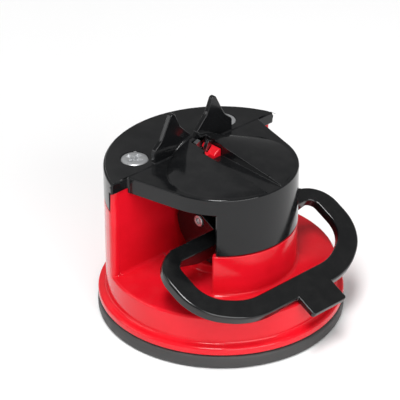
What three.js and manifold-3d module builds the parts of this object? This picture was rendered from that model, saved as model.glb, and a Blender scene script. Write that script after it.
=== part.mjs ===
// A worktop knife sharpener on a suction foot.
// A blade is drawn through the V between two upright fins, where crossed carbide plates
// scrape its edge. A cam lever around the front column pulls the rubber cup up to grip.
// Millimetres, +Z up. The origin is the centre of the cup on the worktop, +X points to
// the lever's tab, and the blade runs along X.
import * as THREE from "three";
import { mergeVertices } from "three/addons/utils/BufferGeometryUtils.js";
import Module from "manifold-3d";

const wasm = await Module();
wasm.setup();

// ---------- driving dimensions ----------
const joint = 0.3; // gap where two moulded pieces meet
const runGap = 0.12; // radial clearance of the turning pin
const wall = 2.0; // moulded wall of the housing and the cap

// rubber cup
const cupRim = 3.6;
const cupDome = 6.6; // top of the cup's centre when it is pulled up
const cupHollow = 3.9; // height of the sucked space under the centre

// red housing
const baseRadius = 29.0;
const flangeRadius = baseRadius + 2.0;
const flangeHeight = 2.1;
const cupRadius = flangeRadius + 0.1;
const tierHeight = 9.5;
const tierPlate = 1.8;
const pillarFace = -10.0; // flat front of the rear pillar
const columnRadius = 19.0;
const columnHeight = 11.1;
const columnHalfAngle = 50.0;
const padRadius = 9.2; // raised disc that the cams press on
const padHeight = 2.35;

// black cap
const openingHeight = 22.5; // from the tier to the underside of the fascia
const fasciaHeight = 4.4;
const fasciaReach = 21.9; // where the fascia meets the pillar, measured along Y
const capPlate = 2.2;
const skirtDepth = 8.3;
const skirtWall = 1.2;
const faceLip = 2.5; // height of the cap's edge over the pillar's flat front
const wallHalfAngle = columnHalfAngle - 2.5;
const finHeight = 12.4;
const finThickness = 1.3;
const finHalfWidth = 13.0;
const humpHeight = 3.5; // the hump falls from this at the fins to nothing at the rim
const humpHalfWidth = 7.2; // at the fins; it spreads towards the rim
const humpRimGap = 0.9;
const channelHalf = 2.3;

// cutter
const notchHalfAngle = 21;
const notchRise = 1.2; // bottom of the V above the cap's top
const windowLength = 5.7;
const windowHalf = 2.6;
const archWall = 1.7; // wall of the hump between the fins and the window
const slideFit = 0.15;
const plateThickness = 1.2;
const plateWidth = 1.5;
const plateLength = 6.2;

// screws
const headRadius = 3.45;
const shankRadius = 1.5;
const capScrewInset = 7.64; // from the cap's round edge
const capScrewAngle = 43.86; // degrees either side of straight back
const columnScrewX = columnRadius - 5.5;
const columnBoss = 4.2;

// cam lever and lifting stem
const pinAboveTier = 13.1;
const pinRadius = 1.5;
const stemRadius = 4.9;
const stemHalfWidth = 3.6;
const camGap = 0.25;
const camLift = 2.5; // how far the stem drops when the lever is raised
const leverTurn = Math.PI / 2;
const camInner = stemHalfWidth + 0.8; // room for a washer either side of the stem
const camThickness = 3.2;
const leverTilt = 25; // degrees below level when locked
const slabTop = 2.27; // top of the lever above the pin, square to the slab
const slab = 2.7;
const armBack = 4.8;
const armWidth = 4.0;
const armDepth = 6.0;
const loopHalfWidth = fasciaReach + 6.7;
const loopFront = columnRadius + 12.2;
const railWidth = 5.5;
const tabWidth = 11.4;
const tabLength = 5.8;
const tabOffset = 4.0;
const tabThickness = 1.6;

// ---------- heights that follow ----------
const flangeBottom = cupRim + joint;
const flangeTop = flangeBottom + flangeHeight;
const tierTop = flangeBottom + tierHeight;
const ceiling = tierTop - tierPlate;
const fasciaBottom = tierTop + openingHeight;
const capTop = fasciaBottom + fasciaHeight;
const plateUnder = capTop - capPlate;
const columnTop = tierTop + columnHeight;
const padTop = tierTop + padHeight;
const pinZ = tierTop + pinAboveTier;
const notchZ = capTop + notchRise;
const stemTop = pinZ + 4.0;
const discBottom = cupDome + joint;
const discTop = discBottom + 1.6;

const rad = THREE.MathUtils.degToRad;
const capScrewX = -(baseRadius - capScrewInset) * Math.cos(rad(capScrewAngle));
const capScrewY = (baseRadius - capScrewInset) * Math.sin(rad(capScrewAngle));

// ---------- shape helpers ----------

// A closed geometry becomes a solid that can be joined and cut.
function solid(geometry) {
  const bare = geometry.clone();
  bare.deleteAttribute("normal");
  bare.deleteAttribute("uv");
  const merged = mergeVertices(bare, 1e-4);
  const triVerts = new Uint32Array(merged.index.array);
  const vertProperties = new Float32Array(merged.attributes.position.array);
  const made = new wasm.Manifold(new wasm.Mesh({ numProp: 3, vertProperties, triVerts }));
  if (made.volume() > 0) return made;
  for (let i = 0; i < triVerts.length; i += 3) {
    [triVerts[i + 1], triVerts[i + 2]] = [triVerts[i + 2], triVerts[i + 1]];
  }
  return new wasm.Manifold(new wasm.Mesh({ numProp: 3, vertProperties, triVerts }));
}

const join = (first, ...rest) => rest.reduce((sum, piece) => sum.add(piece), first);
const cut = (first, ...rest) => rest.reduce((left, piece) => left.subtract(piece), first);

// An extrusion of an (x, y) outline from one height to another.
function prism(shape, low, high, curveSegments = 12) {
  const geometry = new THREE.ExtrudeGeometry(shape, {
    depth: high - low,
    bevelEnabled: false,
    curveSegments,
  });
  return solid(geometry.translate(0, 0, low));
}

// An extrusion of a (y, z) outline along X.
function prismX(shape, low, high, curveSegments = 12) {
  const geometry = new THREE.ExtrudeGeometry(shape, {
    depth: high - low,
    bevelEnabled: false,
    curveSegments,
  });
  const toX = new THREE.Matrix4().set(0, 0, 1, low, 1, 0, 0, 0, 0, 1, 0, 0, 0, 0, 0, 1);
  return solid(geometry.applyMatrix4(toX));
}

// An extrusion of an (x, z) outline along Y.
function prismY(shape, low, high, curveSegments = 12) {
  const geometry = new THREE.ExtrudeGeometry(shape, {
    depth: high - low,
    bevelEnabled: false,
    curveSegments,
  });
  return solid(geometry.rotateX(Math.PI / 2).translate(0, high, 0));
}

// A body of revolution about Z from (radius, height) pairs.
function turned(profile, segments = 32) {
  const points = profile.map(([r, z]) => new THREE.Vector2(r, z));
  return solid(new THREE.LatheGeometry(points, segments).rotateX(Math.PI / 2));
}

function post(radius, low, high, x = 0, y = 0, segments = 24) {
  const geometry = new THREE.CylinderGeometry(radius, radius, high - low, segments);
  return solid(geometry.rotateX(Math.PI / 2).translate(x, y, (low + high) / 2));
}

// A round bar along Y, centred on the Y axis at height 0 unless it is moved.
function barY(radius, halfLength, z = 0, segments = 32) {
  const geometry = new THREE.CylinderGeometry(radius, radius, 2 * halfLength, segments);
  return solid(geometry.translate(0, 0, z));
}

function block(low, high) {
  const [a, b] = [new THREE.Vector3(...low), new THREE.Vector3(...high)];
  const size = b.clone().sub(a);
  const middle = a.clone().add(b).multiplyScalar(0.5);
  const geometry = new THREE.BoxGeometry(size.x, size.y, size.z);
  return solid(geometry.translate(middle.x, middle.y, middle.z));
}

// An outline through corners [x, y, radius], each rounded by an arc of its own radius.
function rounded(corners) {
  const shape = new THREE.Shape();
  corners.forEach(([x, y, radius = 0], i) => {
    const here = new THREE.Vector2(x, y);
    const [px, py] = corners[(i + corners.length - 1) % corners.length];
    const [nx, ny] = corners[(i + 1) % corners.length];
    const back = new THREE.Vector2(px, py).sub(here).normalize();
    const ahead = new THREE.Vector2(nx, ny).sub(here).normalize();
    const half = Math.acos(THREE.MathUtils.clamp(back.dot(ahead), -1, 1)) / 2;
    const reach = radius / Math.tan(half);
    const start = here.clone().addScaledVector(back, reach);
    if (i === 0) shape.moveTo(start.x, start.y);
    else shape.lineTo(start.x, start.y);
    if (radius === 0) return;
    const end = here.clone().addScaledVector(ahead, reach);
    const bisector = back.clone().add(ahead).normalize();
    const centre = here.clone().addScaledVector(bisector, radius / Math.sin(half));
    const from = start.clone().sub(centre).angle();
    const to = end.clone().sub(centre).angle();
    shape.absarc(centre.x, centre.y, radius, from, to, back.cross(ahead) > 0);
  });
  return shape;
}

// Corners on the -Y side are repeated, mirrored, on the +Y side.
const mirrored = (corners) => [
  ...corners,
  ...corners.map(([x, y, radius]) => [x, -y, radius]).reverse(),
];

// The part of a disc behind the plane x = face.
function segment(radius, face) {
  const half = Math.acos(-face / radius);
  const shape = new THREE.Shape();
  shape.absarc(0, 0, radius, Math.PI - half, Math.PI + half, false);
  return shape;
}

// A curved wall about Z, centred on +X.
function sector(inner, outer, halfDegrees) {
  const half = rad(halfDegrees);
  const shape = new THREE.Shape();
  shape.absarc(0, 0, outer, -half, half, false);
  shape.absarc(0, 0, inner, half, -half, true);
  return shape;
}

// A disc of the stem's radius with two flats, grown by the gap.
function stemSection(gap) {
  const radius = stemRadius + gap;
  const flat = stemHalfWidth + gap;
  const half = Math.asin(flat / radius);
  const shape = new THREE.Shape();
  shape.absarc(0, 0, radius, -half, half, false);
  shape.absarc(0, 0, radius, Math.PI - half, Math.PI + half, false);
  return shape;
}

function mesh(name, made, look, place = [0, 0, 0]) {
  const { vertProperties, triVerts } = made.getMesh();
  const geometry = new THREE.BufferGeometry();
  geometry.setAttribute("position", new THREE.BufferAttribute(vertProperties, 3));
  geometry.setIndex(new THREE.BufferAttribute(triVerts, 1));
  geometry.computeVertexNormals();
  const material = new THREE.MeshStandardMaterial({ ...look, flatShading: true });
  const piece = new THREE.Mesh(geometry, material);
  piece.name = name;
  piece.position.set(...place);
  return piece;
}

// ---------- looks ----------
const redPlastic = { color: 0xdc1822, roughness: 0.28, metalness: 0 };
const blackPlastic = { color: 0x1c1d1f, roughness: 0.32, metalness: 0 };
const softRubber = { color: 0x2b2c2c, roughness: 0.75, metalness: 0 };
const zincSteel = { color: 0xa8abad, roughness: 0.4, metalness: 0.9 };
const springSteel = { color: 0x8d9194, roughness: 0.35, metalness: 0.95 };
const carbide = { color: 0x63666a, roughness: 0.35, metalness: 0.85 };
const nylon = { color: 0x303234, roughness: 0.5, metalness: 0 };

// ---------- rubber cup ----------
function suctionCup() {
  return turned(
    [
      [0, cupHollow],
      [6.0, cupHollow - 0.1],
      [12.0, cupHollow * 0.77],
      [18.0, cupHollow * 0.48],
      [cupRadius - 8.1, cupHollow * 0.22],
      [cupRadius - 3.5, 0],
      [cupRadius - 0.7, 0],
      [cupRadius - 0.2, 0.5],
      [cupRadius, 1.6],
      [cupRadius, cupRim - 1.0],
      [cupRadius - 0.3, cupRim - 0.3],
      [cupRadius - 0.8, cupRim],
      [cupRadius - 5.1, cupRim],
      [cupRadius - 9.1, cupRim + 0.3],
      [16.0, cupRim + (cupDome - cupRim) * 0.55],
      [11.0, cupDome - 0.3],
      [9.6, cupDome],
      [0, cupDome],
    ],
    48,
  );
}

// ---------- red housing ----------
function baseHousing() {
  const hollowRadius = baseRadius - 2.4;
  const shell = turned(
    [
      [0, ceiling],
      [hollowRadius - 0.8, ceiling],
      [hollowRadius - 0.3, ceiling - 0.4],
      [hollowRadius, flangeBottom],
      [flangeRadius - 0.1, flangeBottom],
      [flangeRadius, flangeBottom + 0.4],
      [flangeRadius - 0.3, flangeTop - 0.6],
      [flangeRadius - 0.8, flangeTop - 0.05],
      [baseRadius + 0.6, flangeTop + 0.05],
      [baseRadius + 0.05, flangeTop + 0.4],
      [baseRadius, flangeTop + 1.0],
      [baseRadius - 0.1, tierTop - 0.7],
      [baseRadius - 0.25, tierTop - 0.2],
      [baseRadius - 0.7, tierTop],
      [0, tierTop],
    ],
    48,
  );
  const sunk = tierTop - 0.8;
  const skirtBottom = capTop - skirtDepth;
  const spigot = baseRadius - skirtWall - joint;
  const pillarTop = plateUnder - 2 * joint;
  const pillar = cut(
    join(
      prism(segment(baseRadius, pillarFace), sunk, skirtBottom - joint, 24),
      prism(segment(spigot, pillarFace), sunk, pillarTop, 24),
    ),
    prism(segment(spigot - wall, pillarFace - wall), tierTop, capTop, 24),
  );
  const bosses = [-capScrewY, capScrewY].map((y) =>
    cut(
      post(3.0, sunk, pillarTop, capScrewX, y),
      post(shankRadius + 0.1, pillarTop - 14, capTop, capScrewX, y),
    ),
  );
  const column = join(
    prism(sector(columnRadius - wall, columnRadius, columnHalfAngle), sunk, columnTop - joint / 2, 16),
    post(columnBoss, sunk, columnTop - joint / 2, columnScrewX),
  );
  const pad = post(padRadius, sunk, padTop, 0, 0, 24);
  const guide = post(stemRadius + 1.3, ceiling - 2.0, ceiling + 0.5, 0, 0, 32);
  return cut(
    join(shell, pillar, ...bosses, column, pad, guide),
    prism(stemSection(joint), 0, capTop, 10),
    post(headRadius - 0.3, 0, tierTop + 0.8, columnScrewX),
    post(shankRadius + 0.2, 0, capTop, columnScrewX),
  );
}

// ---------- black cap ----------
// The cap's outline from above, drawn smaller by the inset.
function capPlan(inset) {
  const outer = baseRadius - inset;
  const inner = columnRadius - inset;
  const face = pillarFace + 0.3 - inset;
  const reach = fasciaReach - inset;
  const rearHalf = Math.acos(-face / outer);
  const cornerY = outer * Math.sin(rearHalf);
  const cornerDistance = Math.hypot(face, reach);
  const touch = Math.atan2(-reach, face) + Math.acos(inner / cornerDistance);
  const shape = new THREE.Shape();
  const blend = 1.6;
  shape.moveTo(face, -cornerY);
  shape.lineTo(face, -reach - blend);
  shape.quadraticCurveTo(face, -reach, face + blend, -reach + blend * 0.25);
  shape.lineTo(inner * Math.cos(touch), inner * Math.sin(touch));
  shape.absarc(0, 0, inner, touch, -touch, false);
  shape.lineTo(face + blend, reach - blend * 0.25);
  shape.quadraticCurveTo(face, reach, face, reach + blend);
  shape.lineTo(face, cornerY);
  shape.absarc(0, 0, outer, Math.PI - rearHalf, Math.PI + rearHalf, false);
  return shape;
}

// Both fins and the V between them, as seen along the blade.
function finOutline() {
  const slope = Math.tan(rad(notchHalfAngle));
  const side = [
    [-finHalfWidth, capTop - 1.0],
    [-finHalfWidth, capTop + 3.4, 1.2],
    [-10.5, capTop + 5.5, 4.0],
    [-6.8, capTop + finHeight + 0.4, 0.8],
    [-4.6, capTop + 7.6, 3.0],
    [-2.6 * slope, notchZ + 2.6, 0.6],
  ];
  const far = side.map(([y, z, radius]) => [-y, z, radius]).reverse();
  return rounded([...side, [0, notchZ], ...far]);
}

function cutterWindow(gap) {
  const back = pillarFace + archWall;
  return [
    [back - gap, -windowHalf - gap],
    [back + windowLength + gap, windowHalf + gap],
  ];
}

// The hump is an arch at the fins that spreads into a low tent towards the front rim.
function capHump() {
  const arch = [];
  const rim = [];
  const radius = (humpHalfWidth ** 2 + humpHeight ** 2) / (2 * humpHeight);
  const sweep = Math.asin(humpHalfWidth / radius);
  const steps = 24;
  for (let i = 0; i <= steps; i += 1) {
    const angle = THREE.MathUtils.lerp(-sweep, sweep, i / steps);
    const height = humpHeight - radius * (1 - Math.cos(angle));
    arch.push([pillarFace - 0.5, radius * Math.sin(angle), capTop + height]);
    const around = THREE.MathUtils.lerp(-rad(96), rad(96), i / steps);
    const reach = columnRadius - humpRimGap;
    const rise = 0.4 * Math.cos(angle * (Math.PI / 2 / sweep)) + 0.05;
    for (const z of [capTop - 1, capTop + rise]) {
      rim.push([reach * Math.cos(around), reach * Math.sin(around), z]);
    }
  }
  const foot = [-1, 1].map((side) => [pillarFace - 0.5, side * humpHalfWidth, capTop - 1]);
  return wasm.Manifold.hull([...arch, ...rim, ...foot]);
}

function topCap() {
  const rearOnly = block([-40, -40, 0], [pillarFace + 0.35, 40, capTop]);
  const rim = prism(capPlan(0), fasciaBottom, capTop, 24).subtract(
    prism(capPlan(wall), 0, plateUnder, 24),
  );
  // over the pillar the edge is only a lip
  const overPillar = prism(segment(baseRadius - skirtWall, pillarFace + 0.35), 0, capTop - faceLip, 24);
  const skirt = prism(segment(baseRadius, pillarFace), capTop - skirtDepth, plateUnder + 1, 24).subtract(
    prism(segment(baseRadius - skirtWall, pillarFace + 1), 0, plateUnder + 0.5, 24),
  );
  const columnWall = join(
    prism(sector(columnRadius - wall, columnRadius, wallHalfAngle), columnTop + joint / 2, plateUnder + 0.5, 16),
    prism(sector(columnRadius - wall - 1.6, columnRadius - wall + 0.4, 36), columnTop + joint, columnTop + 3, 12),
    prism(sector(columnRadius - wall - 1.7, columnRadius - wall - joint, 36), columnTop - 4, columnTop + 1, 12),
  );
  const upperBoss = post(3.6, columnTop + joint / 2, plateUnder + 0.5, columnScrewX);
  const fins = prismX(finOutline(), pillarFace - finThickness, pillarFace, 8);

  const [low, high] = cutterWindow(0);
  const window = block([low[0], low[1], plateUnder - 10], [high[0], high[1], capTop + 20]);
  const pocket = block(
    [low[0] - 1.5, low[1] - 1.5, plateUnder - 1.7],
    [high[0] + 1.5, high[1] + 1.5, plateUnder + 1],
  );
  const clampPosts = [-1, 1].map((side) =>
    post(2.2, plateUnder - 1.7, plateUnder + 0.5, (low[0] + high[0]) / 2, side * (windowHalf + 2.9)),
  );
  const clampHoles = [-1, 1].map((side) =>
    post(0.95, 0, capTop - 0.7, (low[0] + high[0]) / 2, side * (windowHalf + 2.9), 16),
  );
  const channel = block([high[0] - 0.5, -channelHalf, capTop - 0.15], [40, channelHalf, capTop + 20]);
  const slope = Math.tan(rad(notchHalfAngle));
  const notch = new THREE.Shape();
  notch.moveTo(0, notchZ);
  notch.lineTo(20 * slope, notchZ + 20);
  notch.lineTo(-20 * slope, notchZ + 20);
  const screwSeats = [-capScrewY, capScrewY].flatMap((y) => [
    post(headRadius + 0.25, capTop - 1.25, capTop + 5, capScrewX, y),
    post(shankRadius + 0.4, 0, capTop + 5, capScrewX, y),
  ]);

  const body = cut(rim, rearOnly.intersect(overPillar));
  return cut(
    join(body, skirt, columnWall, upperBoss, fins, capHump(), pocket, ...clampPosts),
    window,
    channel,
    prismX(notch, pillarFace - 5, low[0] + 0.5),
    ...screwSeats,
    ...clampHoles,
    post(shankRadius + 0.1, 0, plateUnder - 3, columnScrewX),
    post(columnBoss + joint, 0, columnTop + joint / 2, columnScrewX),
  );
}

// ---------- cutter ----------
// One carbide plate. Its upper inside edge passes through the bottom of the V.
function carbidePlate(side, gap = 0, above = 0) {
  const geometry = new THREE.BoxGeometry(
    plateThickness + 2 * gap,
    plateWidth + 2 * gap,
    plateLength + 2 * gap + above,
  );
  const lowered = 2.0 - plateLength / 2;
  geometry.translate(0, -plateWidth / 2, lowered + above / 2);
  geometry.rotateX(rad(notchHalfAngle));
  if (side > 0) geometry.rotateZ(Math.PI);
  return solid(geometry);
}

const plateX = (side) => pillarFace + archWall + 0.25 + plateThickness / 2 + (side > 0 ? plateThickness + 0.2 : 0);
const plateZ = notchZ + joint;

function cutterBlock() {
  const [low, high] = cutterWindow(-slideFit);
  const top = capTop + 1.6;
  const bottom = plateUnder - 1.7;
  const outline = rounded([
    [low[1], bottom],
    [high[1], bottom],
    [high[1], top, 0.3],
    [1.5, top, 0.3],
    [0, notchZ - 0.9],
    [-1.5, top, 0.3],
    [low[1], top, 0.3],
  ]);
  const seats = [-1, 1].map((side) =>
    carbidePlate(side, slideFit, 6).translate(plateX(side), 0, plateZ),
  );
  return cut(prismX(outline, low[0], high[0], 4), ...seats);
}

const clampX = pillarFace + archWall + windowLength / 2;
const clampTop = plateUnder - 1.7 - 0.1;
const clampScrewY = windowHalf + 2.9;

function cutterClamp() {
  const plan = rounded([
    [clampX - 2.6, -clampScrewY - 2.2, 1.5],
    [clampX + 2.6, -clampScrewY - 2.2, 1.5],
    [clampX + 2.6, clampScrewY + 2.2, 1.5],
    [clampX - 2.6, clampScrewY + 2.2, 1.5],
  ]);
  const holes = [-clampScrewY, clampScrewY].map((y) => post(1.1, 0, capTop, clampX, y, 16));
  return cut(prism(plan, clampTop - 1.0, clampTop, 5), ...holes);
}

// ---------- screws ----------
// A cross-recess screw, head up, with its seat at height 0.
function screw(head, headHeight, shank, length) {
  const body = turned(
    [
      [0, -length],
      [shank * 0.4, -length],
      [shank, -length + shank],
      [shank, 0],
      [head, 0],
      [head, headHeight * 0.45],
      [head * 0.8, headHeight * 0.85],
      [0, headHeight],
    ],
    24,
  );
  const arm = head * 0.62;
  const slot = head * 0.13;
  const deep = headHeight * 0.35;
  return cut(
    body,
    block([-arm, -slot, deep], [arm, slot, headHeight + 1]),
    block([-slot, -arm, deep], [slot, arm, headHeight + 1]),
  );
}

// ---------- lifting stem ----------
function cupDisc() {
  return turned([
    [0, discBottom],
    [9.2, discBottom],
    [9.2, discTop - 0.3],
    [8.9, discTop],
    [2.4, discTop],
    [2.4, discTop + 8.5],
    [2.0, discTop + 8.9],
    [0, discTop + 8.9],
  ]);
}

function liftStem() {
  const bottom = discTop + joint;
  return cut(
    prism(stemSection(0), bottom, stemTop, 10),
    post(2.4 + 0.15, 0, discTop + 9.2),
    barY(pinRadius + 0.08, 20, pinZ),
  );
}

function crossPin() {
  const end = camInner + camThickness + 0.3;
  const points = [
    [0, -end + 0.4],
    [pinRadius * 0.5, -end + 0.4],
    [pinRadius * 0.55, -end],
    [pinRadius - 0.25, -end],
    [pinRadius, -end + 0.25],
    [pinRadius, end - 0.25],
    [pinRadius - 0.25, end],
    [pinRadius * 0.55, end],
    [pinRadius * 0.5, end - 0.4],
    [0, end - 0.4],
  ].map(([r, y]) => new THREE.Vector2(r, y));
  return solid(new THREE.LatheGeometry(points, 32));
}

function pinWasher(side) {
  const middle = (side * (stemHalfWidth + camInner)) / 2;
  const half = (camInner - stemHalfWidth) / 2 - 0.15;
  const inner = pinRadius + runGap;
  const outer = 3.2;
  const points = [
    [inner, middle - half],
    [outer, middle - half],
    [outer, middle + half],
    [inner, middle + half],
    [inner, middle - half],
  ].map(([r, y]) => new THREE.Vector2(r, y));
  return solid(new THREE.LatheGeometry(points, 32));
}

// The spring pushes the cup down again when the lever is raised.
function returnSpring() {
  const wire = 0.4;
  const coil = stemRadius + 2.6;
  const low = discTop + joint + wire;
  const high = ceiling - joint - wire;
  const turns = 2;
  class Helix extends THREE.Curve {
    getPoint(t, target = new THREE.Vector3()) {
      const angle = t * turns * 2 * Math.PI;
      return target.set(coil * Math.cos(angle), coil * Math.sin(angle), low + (high - low) * t);
    }
  }
  const section = new THREE.Shape();
  section.absarc(0, 0, wire, 0, 2 * Math.PI, false);
  return solid(
    new THREE.ExtrudeGeometry(section, {
      extrudePath: new Helix(),
      steps: 40,
      curveSegments: 6,
      bevelEnabled: false,
    }),
  );
}

// ---------- cam lever, built about its pin ----------
// The cam's face is an involute, so the stem rises evenly with the lever's angle.
function camOutline() {
  const reach = pinZ - padTop - camGap;
  const rate = camLift / leverTurn;
  const flatEnd = 5.0;
  const tilt = rad(leverTilt);
  const onTop = (s) => [
    s * Math.cos(tilt) + slabTop * Math.sin(tilt),
    -s * Math.sin(tilt) + slabTop * Math.cos(tilt),
  ];
  const shape = new THREE.Shape();
  shape.moveTo(flatEnd, -reach);
  shape.lineTo(...onTop(armBack + armWidth));
  shape.lineTo(...onTop(-4.0));
  const crownZ = -3.3;
  const released = reach - camLift;
  const crown = Math.hypot(released, -rate - crownZ);
  const steps = 8;
  const from = Math.atan2(onTop(-4.0)[1] - crownZ, onTop(-4.0)[0]);
  const to = Math.atan2(-rate - crownZ, -released);
  for (let i = 1; i < steps; i += 1) {
    const angle = THREE.MathUtils.lerp(from, to, i / steps);
    shape.lineTo(crown * Math.cos(angle), crownZ + crown * Math.sin(angle));
  }
  const faces = 16;
  for (let i = faces; i >= 0; i -= 1) {
    const turn = (leverTurn * i) / faces;
    const distance = reach - rate * turn;
    shape.lineTo(
      -distance * Math.sin(turn) + rate * Math.cos(turn),
      -distance * Math.cos(turn) - rate * Math.sin(turn),
    );
  }
  return shape;
}

function lever() {
  const underside = slabTop - slab;
  const armFront = armBack + armWidth;
  const outer = rounded(
    mirrored([
      [armBack, -loopHalfWidth, 8.0],
      [loopFront - 8.4, -loopHalfWidth, 14.0],
      [loopFront, -loopHalfWidth + 12.0, 20.0],
    ]),
  );
  const innerHalf = loopHalfWidth - railWidth;
  const innerFront = loopFront - railWidth;
  const inner = rounded(
    mirrored([
      [armFront, -innerHalf, 2.5],
      [innerFront - 5.2, -innerHalf, 8.5],
      [innerFront, -innerHalf + 9.0, 14.0],
    ]),
  );
  const loop = cut(
    prism(outer, underside, slabTop, 10),
    prism(inner, underside - 5, slabTop + 5, 10),
    // the bar is open between the cams, where the stem stands
    block([0, -camInner, underside - 5], [armFront + 0.5, camInner, slabTop + 5]),
  );
  const tab = prism(
    rounded([
      [loopFront - 2, tabOffset - tabWidth / 2],
      [loopFront + tabLength, tabOffset - tabWidth / 2, 0.6],
      [loopFront + tabLength, tabOffset + tabWidth / 2, 0.6],
      [loopFront - 2, tabOffset + tabWidth / 2],
    ]),
    slabTop - tabThickness,
    slabTop,
    4,
  );
  // the cross arms deepen towards the cams
  const armSide = (side) =>
    prismX(
      rounded([
        [side * camInner, slabTop],
        [side * (innerHalf - 1.0), slabTop],
        [side * (innerHalf - 1.0), underside],
        [side * 14.0, slabTop - armDepth, 2.0],
        [side * camInner, slabTop - armDepth],
      ]),
      armBack,
      armFront,
      6,
    );
  const bar = join(loop, tab, armSide(-1), armSide(1)).rotate([0, leverTilt, 0]);
  const cams = [-1, 1].map((side) =>
    side < 0
      ? prismY(camOutline(), -camInner - camThickness, -camInner)
      : prismY(camOutline(), camInner, camInner + camThickness),
  );
  // the front bar rests flat on the tier, and the tab reaches out past the housing
  const floor = tierTop + joint - pinZ;
  const housing = post(flangeRadius + joint, floor - 20, floor, 0, 0, 96);
  return cut(
    join(bar, ...cams),
    barY(pinRadius + runGap, 20),
    housing.intersect(block([8, -60, floor - 20], [60, 60, floor])),
  );
}

// ---------- assembly ----------
const sharpener = new THREE.Group();
const base = new THREE.Group();
base.add(
  mesh("suction_cup", suctionCup(), softRubber),
  mesh("base_housing", baseHousing(), redPlastic),
  mesh("top_cap", topCap(), blackPlastic),
  mesh("return_spring", returnSpring(), springSteel),
  mesh("column_screw", screw(2.9, 1.8, shankRadius, 17).rotate([180, 0, 0]), zincSteel, [
    columnScrewX,
    0,
    tierTop + 0.8 - joint,
  ]),
);
for (const [name, side] of [
  ["cap_screw_front", -1],
  ["cap_screw_rear", 1],
]) {
  const seat = capTop - 1.25 + 0.1;
  base.add(mesh(name, screw(headRadius, 1.55, shankRadius, 14), zincSteel, [capScrewX, side * capScrewY, seat]));
}

const cutter = new THREE.Group();
cutter.add(
  mesh("cutter_block", cutterBlock(), redPlastic),
  mesh("cutter_clamp", cutterClamp(), zincSteel),
);
for (const [name, side] of [
  ["carbide_plate_front", -1],
  ["carbide_plate_rear", 1],
]) {
  cutter.add(mesh(name, carbidePlate(side), carbide, [plateX(side), 0, plateZ]));
}
for (const [name, side] of [
  ["clamp_screw_front", -1],
  ["clamp_screw_rear", 1],
]) {
  const made = screw(1.9, 1.2, 0.85, 4.2).rotate([180, 0, 0]);
  cutter.add(mesh(name, made, zincSteel, [clampX, side * clampScrewY, clampTop - 1.0 - 0.1]));
}

const stem = new THREE.Group();
stem.add(
  mesh("cup_disc", cupDisc(), nylon),
  mesh("lift_stem", liftStem(), nylon),
  mesh("cross_pin", crossPin(), zincSteel, [0, 0, pinZ]),
  mesh("pin_washer_front", pinWasher(-1), zincSteel, [0, 0, pinZ]),
  mesh("pin_washer_rear", pinWasher(1), zincSteel, [0, 0, pinZ]),
);

sharpener.add(base, cutter, stem, mesh("lever", lever(), blackPlastic, [0, 0, pinZ]));

export default sharpener;
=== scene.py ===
# A worktop knife sharpener on a suction foot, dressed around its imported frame.
# Shapes are drawn in millimetres and scaled to metres as each piece is finished.
import math

import bmesh
import bpy
from mathutils import Matrix, Vector


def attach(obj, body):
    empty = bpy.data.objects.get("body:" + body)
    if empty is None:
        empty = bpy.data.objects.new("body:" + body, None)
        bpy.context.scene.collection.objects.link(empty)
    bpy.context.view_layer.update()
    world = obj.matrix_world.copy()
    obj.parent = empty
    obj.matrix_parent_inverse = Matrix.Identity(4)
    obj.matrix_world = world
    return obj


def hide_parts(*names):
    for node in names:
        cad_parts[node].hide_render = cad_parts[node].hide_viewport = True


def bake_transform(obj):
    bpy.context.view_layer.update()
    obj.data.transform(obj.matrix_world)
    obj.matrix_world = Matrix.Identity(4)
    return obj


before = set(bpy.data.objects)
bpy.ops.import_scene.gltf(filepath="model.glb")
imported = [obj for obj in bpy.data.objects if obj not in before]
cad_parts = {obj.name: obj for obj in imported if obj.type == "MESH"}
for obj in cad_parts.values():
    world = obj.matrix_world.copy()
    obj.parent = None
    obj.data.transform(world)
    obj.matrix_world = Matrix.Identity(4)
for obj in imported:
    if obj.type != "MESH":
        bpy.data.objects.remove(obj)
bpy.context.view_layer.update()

MM = 0.001
ARC_STEP = 2.5  # degrees between points on the large arcs
EDGE_ANGLE = 50.0  # a bend over this many degrees is an edge, and is turned
SMOOTH_ANGLE = 38.0  # a bend under this many degrees is shaded smooth

# ---------- sizes in millimetres ----------
JOINT = 0.3
BASE_R = 29.0
FLANGE_R = 31.0
FLANGE_LOW = 3.9
FLANGE_TOP = 6.0
TIER_TOP = 13.4
PILLAR_FACE = -10.0
COLUMN_R = 19.0
COLUMN_TOP = 24.5
PAD_R = 9.2
PAD_TOP = 15.75
FASCIA_LOW = 35.9
CAP_TOP = 40.3
SKIRT_LOW = 32.0
SKIRT_FACE = PILLAR_FACE - 1.4
LIP_LOW = CAP_TOP - 3.0
PILLAR_CORNER = 2.2
NOTCH_Z = 41.5
PIN_Z = 26.5
PIN_R = 1.5
TILT = 25.0  # degrees the lever slopes down from its cams
LEVER_TOP = 2.27  # the lever's upper face over the pin, square to its slope
CAM_FACES = (4.4, 7.6)  # inner and outer face of each cam, from the middle
COLUMN_SCREW_X = 13.5
CAP_SCREW_X = -15.4
CAP_SCREW_Y = 14.8
CLAMP_SCREW_Y = 5.5
WINDOW_X = (PILLAR_FACE + 1.7, PILLAR_FACE + 7.4)
WINDOW_HALF = 2.6
NOTCH_SLOPE = math.tan(math.radians(21.0))  # how far each side of the V leans from upright
ARCH_R = 9.3
HUMP_CREST = (3.5, 0.45)  # over the cap's top, at the fins and at the front rim
HUMP_LENGTH = 28.2


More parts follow.
